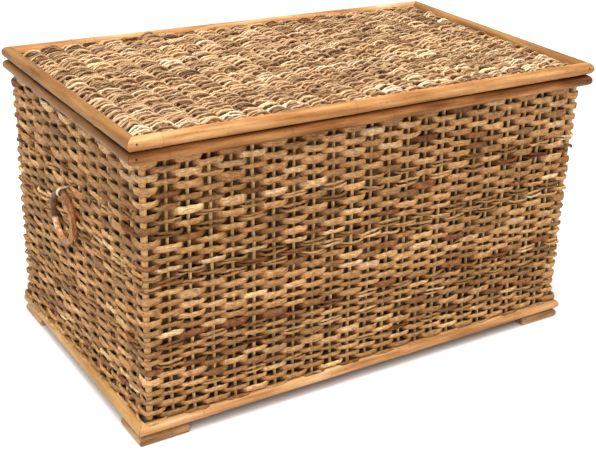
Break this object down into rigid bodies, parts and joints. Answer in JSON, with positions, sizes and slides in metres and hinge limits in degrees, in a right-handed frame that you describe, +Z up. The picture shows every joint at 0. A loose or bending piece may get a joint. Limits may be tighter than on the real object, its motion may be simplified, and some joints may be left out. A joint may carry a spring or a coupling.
{
  "type": "wicker storage trunk",
  "caption": "Rectangular woven rattan storage trunk with round pole edges, short pole feet, a hinged woven lid and a hanging ring handle on each short side.",
  "frame": {"origin": "middle of the trunk's outline, on the floor it stands on", "axes": "+X along the trunk's length to the right, -Y towards the front face, +Z up"},
  "size_m": [0.8856, 0.52, 0.504],
  "materials": {
    "rattan_pole": "varnished honey rattan with darker nodes",
    "wicker": "satin, natural mixed tan, cream, olive and brown",
    "stake": "satin pale rattan core",
    "frame_wood": "matte unfinished wood",
    "foot_rattan": "matte weathered rattan",
    "dark_rattan": "varnished red-brown rattan",
    "peel": "satin cream rattan peel",
    "hinge_steel": "dull zinc-plated steel"
  },
  "bodies": {
    "trunk": {"rim_pole_front": "rattan_pole", "base_pole_front": "rattan_pole", "top_rail_front": "frame_wood", "bottom_rail_front": "frame_wood", "wall_front": "wicker", "rim_pole_right": "rattan_pole", "base_pole_right": "rattan_pole", "top_rail_right": "frame_wood", "bottom_rail_right": "frame_wood", "wall_right": "wicker", "rim_pole_back": "rattan_pole", "base_pole_back": "rattan_pole", "top_rail_back": "frame_wood", "bottom_rail_back": "frame_wood", "wall_back": "wicker", "rim_pole_left": "rattan_pole", "base_pole_left": "rattan_pole", "top_rail_left": "frame_wood", "bottom_rail_left": "frame_wood", "wall_left": "wicker", "corner_post_front_left": "stake", "corner_post_front_right": "stake", "corner_post_back_right": "stake", "corner_post_back_left": "stake", "foot_front_left_long": "foot_rattan", "foot_front_left_short": "foot_rattan", "foot_front_right_long": "foot_rattan", "foot_front_right_short": "foot_rattan", "foot_back_right_long": "foot_rattan", "foot_back_right_short": "foot_rattan", "foot_back_left_long": "foot_rattan", "foot_back_left_short": "foot_rattan", "floor_weave": "wicker", "floor_bearer_left": "frame_wood", "floor_bearer_middle": "frame_wood", "floor_bearer_right": "frame_wood", "handle_loop_left": "peel", "handle_loop_right": "peel", "hinge_body_leaf_left": "hinge_steel", "hinge_pin_left": "hinge_steel", "hinge_body_leaf_right": "hinge_steel", "hinge_pin_right": "hinge_steel"},
    "lid": {"lid_pole_front": "rattan_pole", "lid_rail_front": "frame_wood", "lid_pole_right": "rattan_pole", "lid_rail_right": "frame_wood", "lid_pole_back": "rattan_pole", "lid_rail_back": "frame_wood", "lid_pole_left": "rattan_pole", "lid_rail_left": "frame_wood", "lid_weave": "wicker", "lid_batten_left": "frame_wood", "lid_batten_middle": "frame_wood", "lid_batten_right": "frame_wood", "hinge_lid_leaf_left": "hinge_steel", "hinge_lid_leaf_right": "hinge_steel"},
    "ring_left": {"ring_handle_left": "dark_rattan"},
    "ring_right": {"ring_handle_right": "dark_rattan"}
  },
  "joints": [
    {"name": "lid_hinge", "type": "hinge", "parent": "trunk", "child": "lid", "pos_m": [0, 0.255, 0.4824], "axis": [-1, 0, 0], "range_deg": [0, 100]},
    {"name": "ring_swing_left", "type": "hinge", "parent": "trunk", "child": "ring_left", "pos_m": [-0.434, 0.025, 0.322], "axis": [0, 1, 0], "range_deg": [0, 170]},
    {"name": "ring_swing_right", "type": "hinge", "parent": "trunk", "child": "ring_right", "pos_m": [0.434, 0.025, 0.322], "axis": [0, -1, 0], "range_deg": [0, 170]}
  ]
}
